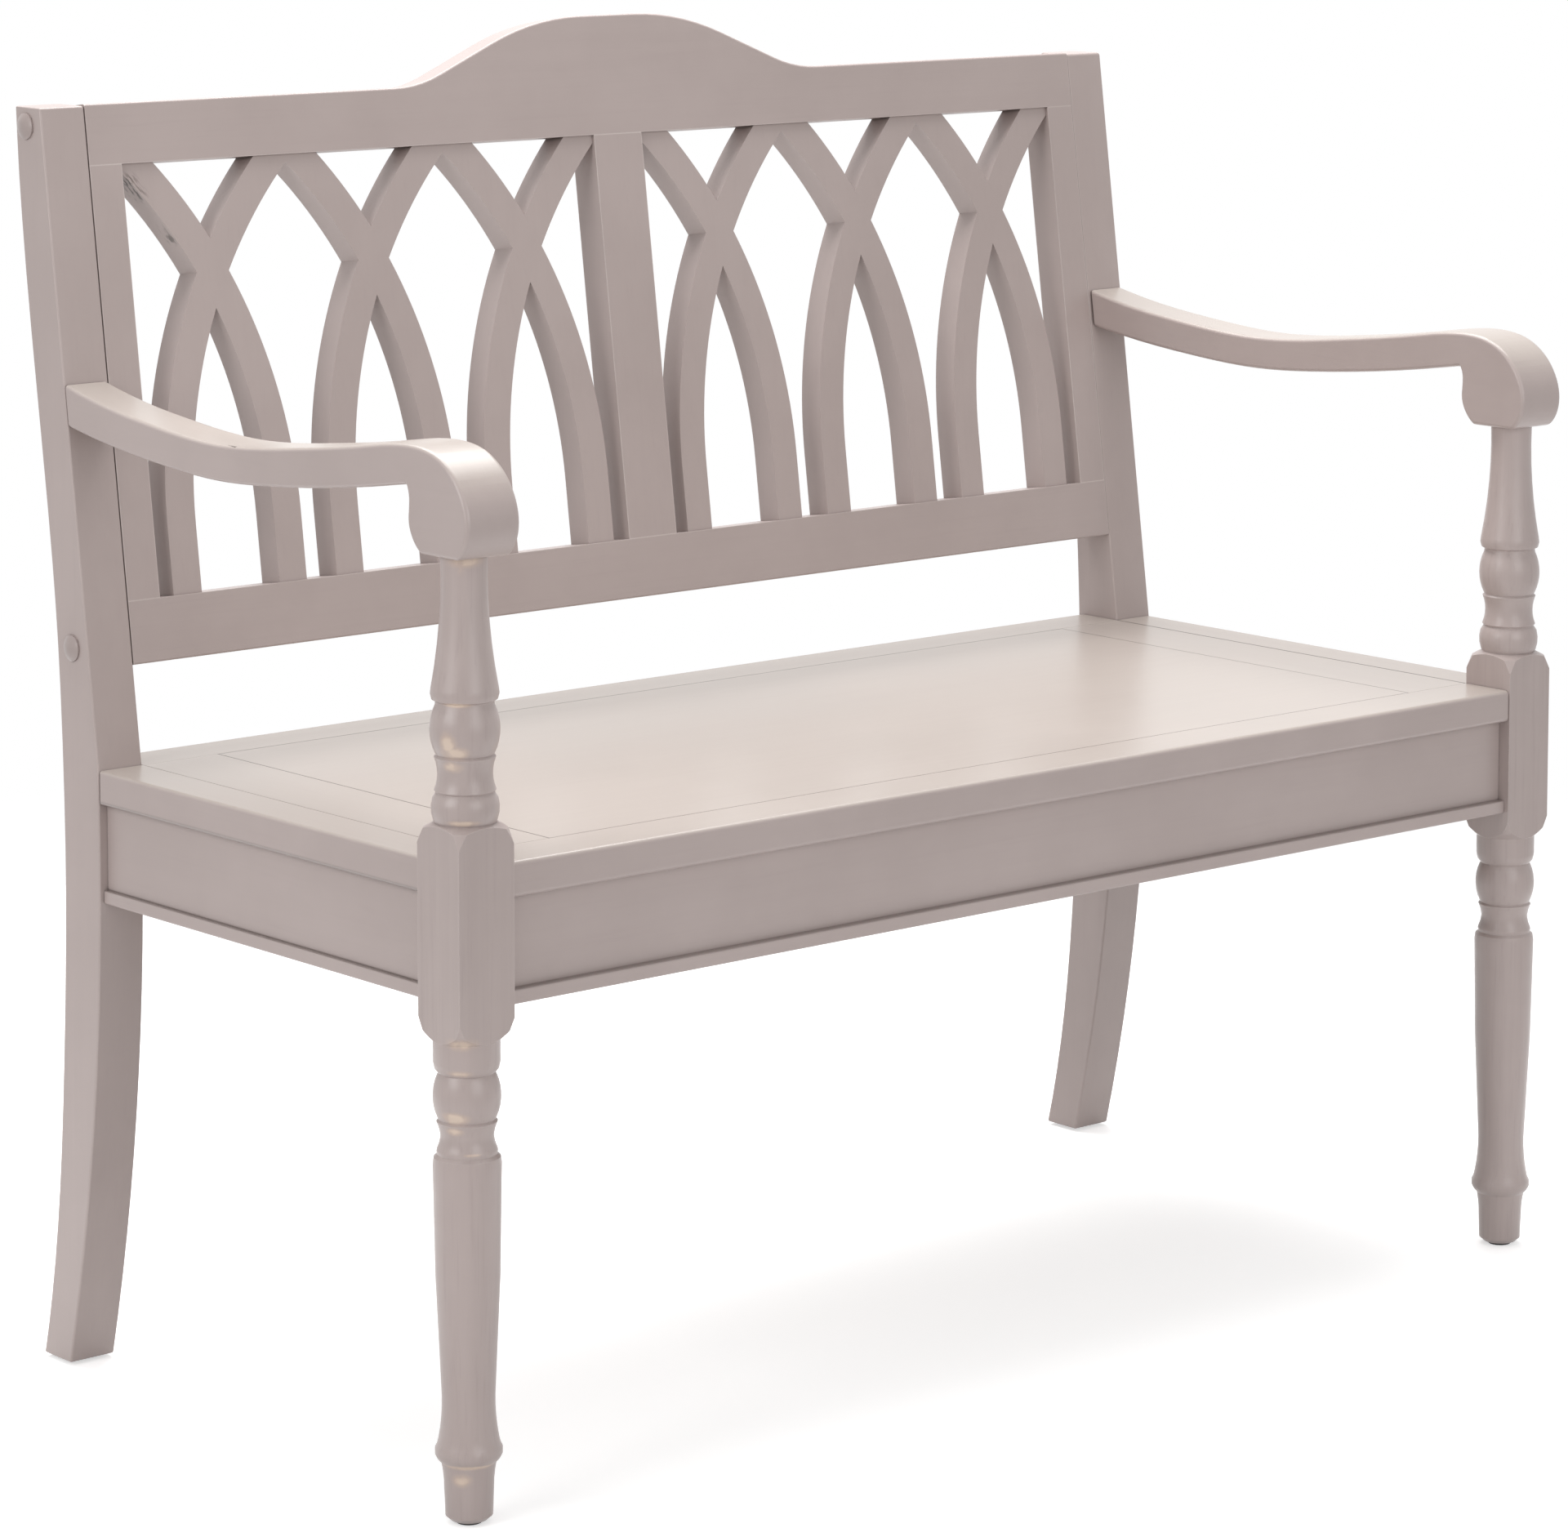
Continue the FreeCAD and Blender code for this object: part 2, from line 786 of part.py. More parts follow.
def front_moulding():
    half = leg_inner_x - joint_gap / 2
    y0 = apron_setback_front - moulding_proud_front
    strip = box(-half, half, y0, apron_setback_front, apron_bottom, apron_bottom + moulding_height)
    return round_edges(strip, moulding_round, lambda e, m: m.y < y0 + 0.1 and along_x(e))


def side_moulding():
    x1 = side_apron_outer + moulding_proud_side
    y0 = block_size + joint_gap / 2
    y1 = post_front_y - joint_gap / 2
    strip = box(side_apron_outer, x1, y0, y1, apron_bottom, apron_bottom + moulding_height)
    return round_edges(strip, moulding_round, lambda e, m: m.x > x1 - 0.1 and lies_along(e, V(0, 1, 0)))


# Bearer, cleats and corner blocks
def seat_bearer():
    half = bearer_width / 2.0
    y0 = front_apron_back
    y1 = back_apron_front
    bearer = box(-half, half, y0, y1, seat_bottom - bearer_height, seat_bottom)
    for cleat in long_cleats(bored=False):
        bearer = bearer.cut(cleat)
    return bearer


def long_cleats(bored=True):
    half = side_apron_inner - end_cleat_width - cleat_end_gap
    z0 = seat_bottom - cleat_size
    front = box(-half, half, front_apron_back, front_apron_back + cleat_size, z0, seat_bottom)
    back = box(-half, half, back_apron_front - cleat_size, back_apron_front, z0, seat_bottom)
    cleats = [front, back]
    if not bored:
        return cleats
    return [bored_for_screws(cleat) for cleat in cleats]


def end_cleats():
    z0 = seat_bottom - cleat_size
    y0 = block_size + cleat_end_gap
    y1 = post_front_y - cleat_end_gap
    right = box(side_apron_inner - end_cleat_width, side_apron_inner, y0, y1, z0, seat_bottom)
    right = bored_for_screws(right)
    return [right, mirror_x(right)]


def bored_for_screws(cleat):
    for x, y in seat_screw_spots():
        cleat = cleat.cut(screw_bore(x, y))
    return cleat


def corner_polygon(front):
    # A diagonal brace between two aprons, standing clear of the leg's inner corner.
    if front:
        corner = (leg_inner_x, block_size)
        wall_y = front_apron_back
        lean = 1.0
    else:
        corner = (post_inner_x, post_front_y)
        wall_y = back_apron_front
        lean = -1.0
    root2 = math.sqrt(2.0)
    outer = corner[0] - lean * corner[1] - corner_block_clear * root2
    inner = outer - corner_block_thick * root2
    wall_x = side_apron_inner
    return [
        V(inner + lean * wall_y, wall_y, 0),
        V(outer + lean * wall_y, wall_y, 0),
        V(wall_x, (wall_x - outer) / lean, 0),
        V(wall_x, (wall_x - inner) / lean, 0),
    ]


def corner_block(front):
    points = corner_polygon(front)
    wire = Part.makePolygon(points + [points[0]])
    block = Part.Face(wire).extrude(V(0, 0, corner_block_top - corner_block_bottom))
    block.translate(V(0, 0, corner_block_bottom))
    return block.cut(corner_bolt_bore(front))


def corner_axis(front):
    # The leg's inner corner and the direction of the diagonal bolt into it.
    z = (corner_block_top + corner_block_bottom) / 2.0
    if front:
        return V(leg_inner_x, block_size, z), V(1, -1, 0).normalize()
    return V(post_inner_x, post_front_y, z), V(1, 1, 0).normalize()


def corner_bolt_bore(front):
    corner, direction = corner_axis(front)
    reach = corner_block_clear + corner_block_thick + corner_bore_lead
    start = corner.sub(V(direction).multiply(reach))
    return rod(bolt_r + peg_clearance, reach + corner_bolt_grip, start, direction)


def corner_bolt(front):
    corner, direction = corner_axis(front)
    reach = corner_block_clear + corner_block_thick
    start = corner.sub(V(direction).multiply(reach + corner_nut_thick + corner_bolt_tail))
    length = reach + corner_nut_thick + corner_bolt_tail + corner_bolt_grip - bolt_end_clear
    shank = rod(bolt_r, length, start, direction)
    seat = corner.sub(V(direction).multiply(reach + corner_nut_thick))
    nut = rod(corner_nut_across / 2.0, corner_nut_thick, seat, direction)
    return merge([shank, nut])


# Screws up through the cleats into the seat
def seat_screw_spots():
    x_end = post_inner_x - end_screw_inset
    y_middle = (block_size + post_front_y) / 2.0
    spots = []
    for side in (-1, 1):
        for offset in (-screw_end_spacing / 2.0, screw_end_spacing / 2.0):
            spots.append((side * x_end, y_middle + offset))
        spots.append((side * screw_long_spacing / 2.0, front_apron_back + front_screw_inset))
        spots.append((side * screw_long_spacing / 2.0, back_apron_front - back_screw_inset))
    return spots


def screw_bore(x, y):
    return rod(screw_r, cleat_size + screw_grip, V(x, y, seat_bottom - cleat_size), V(0, 0, 1))


def seat_screws():
    return [screw_bore(x, y) for x, y in seat_screw_spots()]


# Glides under the feet
def glide(x, y):
    return Part.makeCone(glide_r - glide_taper, glide_r, glide_height, V(x, y, 0))


def paired(pieces):
    both = []
    for piece in pieces:
        both.append(piece)
        both.append(mirror_x(piece))
    return both


# All nodes, by name
def build():
    nodes = {}
    for name, make in (
        ("rear_post", rear_post),
        ("front_leg", front_leg),
        ("arm", arm),
        ("seat_stile", seat_stile),
        ("seat_end_strip", seat_end_strip),
        ("side_apron", side_apron),
        ("side_moulding", side_moulding),
    ):
        right = make()
        nodes[name + "_right"] = [right]
        nodes[name + "_left"] = [mirror_x(right)]
    x0, x1 = stile_span()
    right_stile = on_back(upright(x0, x1))
    nodes["back_stile_right"] = [right_stile]
    nodes["back_stile_left"] = [mirror_x(right_stile)]
    nodes["back_mullion"] = [on_back(upright(-mullion_half, mullion_half))]
    nodes["crest_rail"] = [on_back(crest_rail())]
    nodes["lower_back_rail"] = [on_back(lower_back_rail())]
    for name, bar in lattice_bars().items():
        nodes[name] = [on_back(bar)]
    nodes["seat_front_rail"] = [seat_front_rail()]
    nodes["seat_back_rail"] = [seat_back_rail()]
    nodes["seat_panel"] = [seat_panel()]
    nodes["front_apron"] = [front_apron()]
    nodes["back_apron"] = [back_apron()]
    nodes["front_moulding"] = [front_moulding()]
    nodes["seat_bearer"] = [seat_bearer()]
    nodes["long_cleats"] = long_cleats()
    nodes["end_cleats"] = end_cleats()
    nodes["corner_blocks"] = paired([corner_block(True), corner_block(False)])
    nodes["corner_bolts"] = paired([corner_bolt(True), corner_bolt(False)])
    nodes["back_bolts"] = on_both_sides(back_bolt)
    nodes["barrel_nuts"] = on_both_sides(barrel_nut)
    nodes["bolt_covers"] = on_both_sides(bolt_cover)
    nodes["arm_tenons"] = paired([arm_tenon()])
    nodes["lattice_tenons"] = [on_back(p) for p in lattice_tenons(True) + lattice_tenons(False)]
    nodes["seat_screws"] = seat_screws()
    nodes["floor_glides"] = paired([glide(leg_axis_x, leg_y), glide(post_axis_x, post_foot_y())])
    return nodes


def solids_of(shapes):
    solids = []
    for shape in shapes:
        solids.extend(shape.Solids)
    return solids


def save(nodes):
    os.makedirs("parts", exist_ok=True)
    groups = {name: Part.makeCompound(solids_of(shapes)) for name, shapes in nodes.items()}
    whole = Part.makeCompound(list(groups.values()))
    room = whole.optimalBoundingBox(False)
    shift = V(0, -(room.YMin + room.YMax) / 2.0, 0)
    for name, group in groups.items():
        piece = group.Solids[0].copy() if len(group.Solids) == 1 else group.copy()
        piece.translate(shift)
        piece.exportStep("parts/%s.step" % name)
    print("Y shift", shift.y, "size", room.XLength, room.YLength, room.ZLength, room.ZMin)
    for name, group in sorted(groups.items()):
        print(name, len(group.Solids), round(group.Volume), group.isValid())


save(build())
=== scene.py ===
import math

import bpy
from mathutils import Matrix, Vector
from mathutils.kdtree import KDTree


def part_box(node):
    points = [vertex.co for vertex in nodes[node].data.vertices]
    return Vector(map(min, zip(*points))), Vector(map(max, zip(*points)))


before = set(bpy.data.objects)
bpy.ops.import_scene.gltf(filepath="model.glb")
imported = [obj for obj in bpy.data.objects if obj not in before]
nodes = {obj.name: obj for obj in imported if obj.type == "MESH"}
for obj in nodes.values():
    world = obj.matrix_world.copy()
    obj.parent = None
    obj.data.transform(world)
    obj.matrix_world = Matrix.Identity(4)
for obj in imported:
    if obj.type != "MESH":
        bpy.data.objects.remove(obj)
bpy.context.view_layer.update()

# Places taken from the frame, in metres
APRON_SETBACK = 0.0105
FRONT_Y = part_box("front_apron")[0].y - APRON_SETBACK
LEG_X = sum(corner.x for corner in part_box("front_leg_right")) / 2
LEG_Y = sum(corner.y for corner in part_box("front_leg_right")) / 2
UNDER_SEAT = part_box("seat_front_rail")[0].z

# Camera of the photograph, solved from the bench's straight edges
CAMERA_FROM_FRONT = Vector((-2.66361, -2.82664, 1.21621))
CAMERA_YAW = 41.1605
CAMERA_PITCH = -6.0666
CAMERA_ROLL = 0.1223
IMAGE_WIDTH = 1920
IMAGE_HEIGHT = 1882
FOCAL_PIXELS = 6588.6
PRINCIPAL_U = 1048.34
PRINCIPAL_V = 365.24
SENSOR = 36.0

# Colours, linear
PAINT = (0.415, 0.345, 0.328)
PAINT_DARK = (0.362, 0.298, 0.281)
PAINT_LIGHT = (0.448, 0.376, 0.358)
# arrises: paint worn thin, with a painted highlight
PAINT_EDGE_WEAR_AND_HIGHLIGHT = (0.700, 0.640, 0.610)
RUB_HALO = (0.500, 0.388, 0.325)
RUB_THROUGH = (0.620, 0.500, 0.410)
GRAIN = (0.300, 0.240, 0.232)
# painted sheen: a lighter, greener tint for upward faces
SEAT_TOP_SHEEN = (0.430, 0.405, 0.345)
SCUFF = (0.085, 0.062, 0.052)
# painted shade for narrow corners, also laid over the bolt covers
SHADE_IN_CORNERS = (0.130, 0.100, 0.092)
JOINT_AND_SHADE_LINE = (0.120, 0.095, 0.085)
BARE_WOOD = (0.520, 0.370, 0.215)
BARE_WOOD_DARK = (0.360, 0.235, 0.125)
ZINC = (0.560, 0.560, 0.545)
ZINC_DARK = (0.450, 0.450, 0.440)
GLIDE = (0.030, 0.028, 0.028)
GLIDE_WORN = (0.070, 0.066, 0.062)
WHITE = (1.0, 1.0, 1.0, 1.0)
FLOOR_GREY = (0.72, 0.72, 0.72, 1.0)

# Edges: distances in metres, angles in degrees
SAME_POINT = 0.00003
LEAST_ARRIS = 30.0
FLAT_ANGLE = 0.5
SPLIT_ANGLE = 40.0
TURNED_SPLIT_ANGLE = 28.0
ROUND_SEGMENTS = 3
POST_ROUND = 0.0016
ARM_ROUND = 0.0030
CREST_ROUND = 0.0020
LOWER_RAIL_ROUND = 0.0015

def meeting_points(mesh):
    """For each vertex, the first vertex that lies at the same point."""
    tree = KDTree(len(mesh.vertices))
    for vertex in mesh.vertices:
        tree.insert(vertex.co, vertex.index)
    tree.balance()
    return [min(index for _, index, _ in tree.find_range(v.co, SAME_POINT)) for v in mesh.vertices]


def arrises(mesh):
    """The edges where two faces of a solid meet at a corner, as (edge index, middle, direction)."""
    first = meeting_points(mesh)
    normals = {}
    for polygon in mesh.polygons:
        for a, b in polygon.edge_keys:
            normals.setdefault(frozenset((first[a], first[b])), []).append(polygon.normal.copy())
    found = []
    for edge in mesh.edges:
        start, end = edge.vertices
        a = mesh.vertices[start].co
        b = mesh.vertices[end].co
        sides = normals.get(frozenset((first[start], first[end])), [])
        if len(sides) == 2 and sides[0].angle(sides[1], 0.0) > math.radians(LEAST_ARRIS):
            found.append((edge.index, (a + b) / 2, (b - a).normalized()))
    return found


def soften(name, width, wanted=None):
    """Rounds all of a node's arrises by modifiers, or the wanted ones, and shades it smooth."""
    piece = nodes[name]
    weld(piece)
    flatten = piece.modifiers.new("Join flat facets", "DECIMATE")
    flatten.decimate_type = "DISSOLVE"
    flatten.angle_limit = math.radians(FLAT_ANGLE)
    bevel = piece.modifiers.new("Eased arrises", "BEVEL")
    bevel.width = width
    bevel.segments = ROUND_SEGMENTS
    bevel.use_clamp_overlap = False
    if wanted is None:
        bevel.limit_method = "ANGLE"
        bevel.angle_limit = math.radians(LEAST_ARRIS)
    else:
        bevel.limit_method = "WEIGHT"
        weigh(piece.data, wanted)
    shade(piece, SPLIT_ANGLE)


def weigh(mesh, wanted):
    """Marks the arrises that are wanted, by their middle and direction."""
    weights = mesh.attributes.get("bevel_weight_edge")
    if weights is None:
        weights = mesh.attributes.new("bevel_weight_edge", "FLOAT", "EDGE")
    for index, middle, direction in arrises(mesh):
        if wanted(middle, direction):
            weights.data[index].value = 1.0


def weld(piece):
    join = piece.modifiers.new("Weld", "WELD")
    join.merge_threshold = SAME_POINT


def shade(piece, split_angle):
    """Smooth shading that breaks at corners sharper than the angle and leaves flat faces flat."""
    for polygon in piece.data.polygons:
        polygon.use_smooth = True
    split = piece.modifiers.new("Sharp corners", "EDGE_SPLIT")
    split.split_angle = math.radians(split_angle)
    split.use_edge_sharp = False
    normal = piece.modifiers.new("Flat faces stay flat", "WEIGHTED_NORMAL")
    normal.keep_sharp = True


def smooth_only(name, split_angle=SPLIT_ANGLE):
    piece = nodes[name]
    weld(piece)
    shade(piece, split_angle)


# Sizes of the marks in the materials, in metres, and of the grain, in repeats to the metre
ARRIS_REACH = 0.0016
CORNER_SHADE_REACH = 0.0035
CORNER_SHADE_SHARE = 0.60
SCUFF_SLANT = 0.85
SCUFF_SIZE = (0.0110, 0.0040, 0.0016)
GRAIN_FINE = 330.0
GRAIN_COARSE = 11.0
DRAG_FINE = 90.0
DRAG_COARSE = 3.0
BARE_FINE = 120.0
BARE_COARSE = 5.0
TOP_SHEEN_SHARE = 0.40
COVER_PAINTED_SHADE = 0.24


# Materials
def add(tree, kind, **values):
    node = tree.nodes.new(kind)
    for key, value in values.items():
        setattr(node, key, value)
    return node


def noise(tree, vector, scale, detail=3.0, roughness=0.5):
    node = add(tree, "ShaderNodeTexNoise")
    node.inputs["Scale"].default_value = scale
    node.inputs["Detail"].default_value = detail
    node.inputs["Roughness"].default_value = roughness
    tree.links.new(vector, node.inputs["Vector"])
    return node.outputs["Fac"]


def stretched(tree, vector, along, fine, coarse):
    """The vector scaled finely across the grain and coarsely along it."""
    node = add(tree, "ShaderNodeMapping")
    scale = [fine, fine, fine]
    scale["XYZ".index(along)] = coarse
    node.inputs["Scale"].default_value = scale
    tree.links.new(vector, node.inputs["Vector"])
    return node.outputs["Vector"]


def ranged(tree, value, low, high, to_low=0.0, to_high=1.0):
    """A smooth step from one value to the other between low and high."""
    node = add(tree, "ShaderNodeMapRange", interpolation_type="SMOOTHSTEP")
    node.inputs["From Min"].default_value = low
    node.inputs["From Max"].default_value = high
    node.inputs["To Min"].default_value = to_low
    node.inputs["To Max"].default_value = to_high
    tree.links.new(value, node.inputs["Value"])
    return node.outputs["Result"]


def maths(tree, operation, a, b):
    node = add(tree, "ShaderNodeMath", operation=operation)
    for socket, value in zip(node.inputs, (a, b)):
        if isinstance(value, (int, float)):
            socket.default_value = value
        else:
            tree.links.new(value, socket)
    return node.outputs[0]


def blended(tree, factor, a, b):
    node = add(tree, "ShaderNodeMix", data_type="RGBA")
    for name, value in (("Factor", factor), ("A", a), ("B", b)):
        socket = [s for s in node.inputs if s.name == name and s.enabled][0]
        if isinstance(value, (int, float)):
            socket.default_value = value
        elif isinstance(value, tuple):
            socket.default_value = (*value, 1.0)
        else:
            tree.links.new(value, socket)
    return [s for s in node.outputs if s.enabled][0]


def bumped(tree, height, strength, distance, normal=None):
    node = add(tree, "ShaderNodeBump")
    node.inputs["Strength"].default_value = strength
    node.inputs["Distance"].default_value = distance
    tree.links.new(height, node.inputs["Height"])
    if normal is not None:
        tree.links.new(normal, node.inputs["Normal"])
    return node.outputs["Normal"]


def edge_mask(tree, radius):
    """1 along arrises and 0 on the flats, from how far a rounded normal leaves the true one."""
    bevel = add(tree, "ShaderNodeBevel", samples=6)
    bevel.inputs["Radius"].default_value = radius
    geometry = add(tree, "ShaderNodeNewGeometry")
    dot = add(tree, "ShaderNodeVectorMath", operation="DOT_PRODUCT")
    tree.links.new(bevel.outputs["Normal"], dot.inputs[0])
    tree.links.new(geometry.outputs["True Normal"], dot.inputs[1])
    away = maths(tree, "SUBTRACT", 1.0, dot.outputs["Value"])
    return ranged(tree, away, 0.01, 0.22)


def painted_corner_shade(tree):
    """Painted shade, strongest deep in narrow corners and 0 in the open, from ambient occlusion."""
    occlusion = add(tree, "ShaderNodeAmbientOcclusion", samples=6)
    occlusion.inputs["Distance"].default_value = CORNER_SHADE_REACH
    return ranged(tree, occlusion.outputs["AO"], 0.15, 0.75, CORNER_SHADE_SHARE, 0.0)


def painted_sheen_on_tops(tree, share):
    """The share of a painted sheen on upward faces, a lighter tint for the light they catch, and 0 on the
    others.
    """
    parts = add(tree, "ShaderNodeSeparateXYZ")
    tree.links.new(add(tree, "ShaderNodeNewGeometry").outputs["True Normal"], parts.inputs[0])
    return ranged(tree, parts.outputs["Z"], 0.3, 0.95, 0.0, share)


def joint_and_shade_lines(tree, coordinates, lines):
    """Dark hairlines for joints and painted shade lines, each by its axis, its place on that axis, its half
    width and its depth of colour.
    """
    parts = add(tree, "ShaderNodeSeparateXYZ")
    tree.links.new(coordinates, parts.inputs[0])
    total = None
    for axis, place, half_width, depth in lines:
        away = maths(tree, "ABSOLUTE", maths(tree, "SUBTRACT", parts.outputs[axis], place), 0.0)
        line = ranged(tree, away, half_width * 0.5, half_width, depth, 0.0)
        total = line if total is None else maths(tree, "MAXIMUM", total, line)
    return total


def spot_mask(tree, coordinates, spots, grain):
    """Patches about the given points, each with its own reach up and round, ragged by a fine noise."""
    total = None
    for centre, up, around in spots:
        shifted = add(tree, "ShaderNodeVectorMath", operation="SUBTRACT")
        tree.links.new(coordinates, shifted.inputs[0])
        shifted.inputs[1].default_value = centre
        scaled = add(tree, "ShaderNodeVectorMath", operation="MULTIPLY")
        tree.links.new(shifted.outputs["Vector"], scaled.inputs[0])
        scaled.inputs[1].default_value = (1.0 / around, 1.0 / around, 1.0 / up)
        far = add(tree, "ShaderNodeVectorMath", operation="LENGTH")
        tree.links.new(scaled.outputs["Vector"], far.inputs[0])
        patch = ranged(tree, far.outputs["Value"], 0.1, 1.25, 1.0, 0.0)
        total = patch if total is None else maths(tree, "MAXIMUM", total, patch)
    return maths(tree, "MULTIPLY", total, ranged(tree, grain, 0.3, 0.7, 0.7, 1.2))


def scuff_mask(tree, coordinates, marks):
    """Thin dark scratches that show only near the given points."""
    slanted = add(tree, "ShaderNodeMapping", vector_type="TEXTURE")
    slanted.inputs["Rotation"].default_value = (0.0, SCUFF_SLANT, 0.0)
    slanted.inputs["Scale"].default_value = SCUFF_SIZE
    tree.links.new(coordinates, slanted.inputs["Vector"])
    lines = ranged(tree, noise(tree, slanted.outputs["Vector"], 1.0, 2.5, 0.6), 0.48, 0.58)
    total = None
    for centre, reach, depth in marks:
        far = add(tree, "ShaderNodeVectorMath", operation="DISTANCE")
        tree.links.new(coordinates, far.inputs[0])
        far.inputs[1].default_value = centre
        patch = ranged(tree, far.outputs["Value"], reach * 0.3, reach, depth, 0.0)
        total = patch if total is None else maths(tree, "MAXIMUM", total, patch)
    return maths(tree, "MULTIPLY", total, lines)


def new_material(name):
    material = bpy.data.materials.new(name)
    material.use_nodes = True
    tree = material.node_tree
    tree.nodes.clear()
    output = add(tree, "ShaderNodeOutputMaterial")
    shader = add(tree, "ShaderNodeBsdfPrincipled")
    tree.links.new(shader.outputs["BSDF"], output.inputs["Surface"])
    return material, tree, shader


def painted_wood(
    name, along, sheen_roughness, edge_wear_and_highlight=0.55, spots=(), scuffs=(), lines=(),
    painted_top_sheen=0.0, painted_shade=0.0, streaks=0.6,
):
    """Satin taupe paint over planed wood: faint grain along one axis, brush drag, arrises lightened by
    worn-thin paint and a painted highlight, and painted shade in narrow corners.
    """
    material, tree, shader = new_material(name)
    coordinates = add(tree, "ShaderNodeTexCoord").outputs["Object"]
    grain = noise(tree, stretched(tree, coordinates, along, GRAIN_FINE, GRAIN_COARSE), 1.0, 4.0, 0.6)
    drag = noise(tree, stretched(tree, coordinates, along, DRAG_FINE, DRAG_COARSE), 1.0, 3.0, 0.55)
    cloud = noise(tree, coordinates, 5.5, 4.0, 0.6)
    colour = blended(tree, ranged(tree, cloud, 0.3, 0.7), PAINT_DARK, PAINT_LIGHT)
    colour = blended(tree, 0.62, colour, PAINT)
    # Painted sheen: upward faces tinted lighter for the light they reflect.
    if painted_top_sheen:
        colour = blended(tree, painted_sheen_on_tops(tree, painted_top_sheen), colour, SEAT_TOP_SHEEN)
    # Painted shade: the whole piece darkened toward the corner shade colour.
    if painted_shade:
        colour = blended(tree, painted_shade, colour, SHADE_IN_CORNERS)
    colour = blended(tree, ranged(tree, drag, 0.35, 0.75, 0.0, 0.18 * streaks), colour, PAINT_DARK)
    colour = blended(tree, ranged(tree, grain, 0.5, 0.8, 0.0, 0.14 * streaks), colour, GRAIN)
    # Arrises lighter: partly paint worn thin, partly a painted highlight on the rounded edges
    arris = edge_mask(tree, ARRIS_REACH)
    arris = maths(tree, "MULTIPLY", arris, ranged(tree, cloud, 0.35, 0.65, 0.5, 1.0))
    colour = blended(tree, maths(tree, "MULTIPLY", arris, edge_wear_and_highlight), colour, PAINT_EDGE_WEAR_AND_HIGHLIGHT)
    rough = ranged(tree, cloud, 0.3, 0.7, sheen_roughness - 0.015, sheen_roughness + 0.03)
    # Painted shade darkens narrow corners and joints.
    colour = blended(tree, painted_corner_shade(tree), colour, SHADE_IN_CORNERS)
    # Dark joint lines, and painted shade lines under the seat.
    if lines:
        colour = blended(tree, joint_and_shade_lines(tree, coordinates, lines), colour, JOINT_AND_SHADE_LINE)
    if spots:
        rub = spot_mask(tree, coordinates, spots, noise(tree, coordinates, 110.0, 3.0, 0.55))
        colour = blended(tree, ranged(tree, rub, 0.05, 0.7, 0.0, 0.7), colour, RUB_HALO)
        colour = blended(tree, ranged(tree, rub, 0.5, 1.0, 0.0, 0.9), colour, RUB_THROUGH)
        rough = maths(tree, "ADD", rough, maths(tree, "MULTIPLY", rub, 0.08))
    if scuffs:
        colour = blended(tree, scuff_mask(tree, coordinates, scuffs), colour, SCUFF)
    tree.links.new(colour, shader.inputs["Base Color"])
    tree.links.new(rough, shader.inputs["Roughness"])
    normal = bumped(tree, grain, 0.12, 0.0003)
    normal = bumped(tree, drag, 0.10, 0.0006, normal)
    tree.links.new(normal, shader.inputs["Normal"])
    shader.inputs["IOR"].default_value = 1.5
    return material


def bare_wood(name, along):
    material, tree, shader = new_material(name)
    coordinates = add(tree, "ShaderNodeTexCoord").outputs["Object"]
    grain = noise(tree, stretched(tree, coordinates, along, BARE_FINE, BARE_COARSE), 1.0, 6.0, 0.65)
    colour = blended(tree, ranged(tree, grain, 0.3, 0.7), BARE_WOOD_DARK, BARE_WOOD)
    tree.links.new(colour, shader.inputs["Base Color"])
    tree.links.new(ranged(tree, grain, 0.2, 0.8, 0.55, 0.7), shader.inputs["Roughness"])
    tree.links.new(bumped(tree, grain, 0.2, 0.0004), shader.inputs["Normal"])
    return material


def zinc(name):
    material, tree, shader = new_material(name)
    coordinates = add(tree, "ShaderNodeTexCoord").outputs["Object"]
    mottle = noise(tree, coordinates, 600.0, 4.0, 0.6)
    colour = blended(tree, ranged(tree, mottle, 0.3, 0.7), ZINC_DARK, ZINC)
    tree.links.new(colour, shader.inputs["Base Color"])
    tree.links.new(ranged(tree, mottle, 0.2, 0.8, 0.3, 0.45), shader.inputs["Roughness"])
    shader.inputs["Metallic"].default_value = 1.0
    return material


def glide_plastic(name):
    material, tree, shader = new_material(name)
    coordinates = add(tree, "ShaderNodeTexCoord").outputs["Object"]
    scuff = noise(tree, coordinates, 300.0, 4.0, 0.6)
    colour = blended(tree, ranged(tree, scuff, 0.4, 0.8), GLIDE, GLIDE_WORN)
    tree.links.new(colour, shader.inputs["Base Color"])
    tree.links.new(ranged(tree, scuff, 0.2, 0.8, 0.5, 0.65), shader.inputs["Roughness"])
    return material


def give(material, *names):
    for name in names:
        slots = nodes[name].data.materials
        slots.clear()
        slots.append(material)


# Rubbed places on the near leg: height, turn from the side most rubbed, reach up and round
RUB_TOWARDS = 233.0
RUB_RADIUS = 0.0215
RUBS = (
    (0.6630, 2.0, 0.0060, 0.021), (0.6575, -8.0, 0.0070, 0.007), (0.5668, -16.0, 0.0022, 0.014),
    (0.5345, -20.0, 0.0065, 0.013), (0.5400, -30.0, 0.0120, 0.008), (0.5245, -24.0, 0.0050, 0.010),
    (0.4870, -5.0, 0.0025, 0.015), (0.3375, -8.0, 0.0065, 0.013), (0.3160, -12.0, 0.0030, 0.011),
    (0.2850, -24.0, 0.0060, 0.013), (0.2755, -26.0, 0.0040, 0.009), (0.2600, 10.0, 0.0015, 0.008),
    (0.0432, -3.0, 0.0022, 0.028), (0.0335, -17.0, 0.0065, 0.011),
)

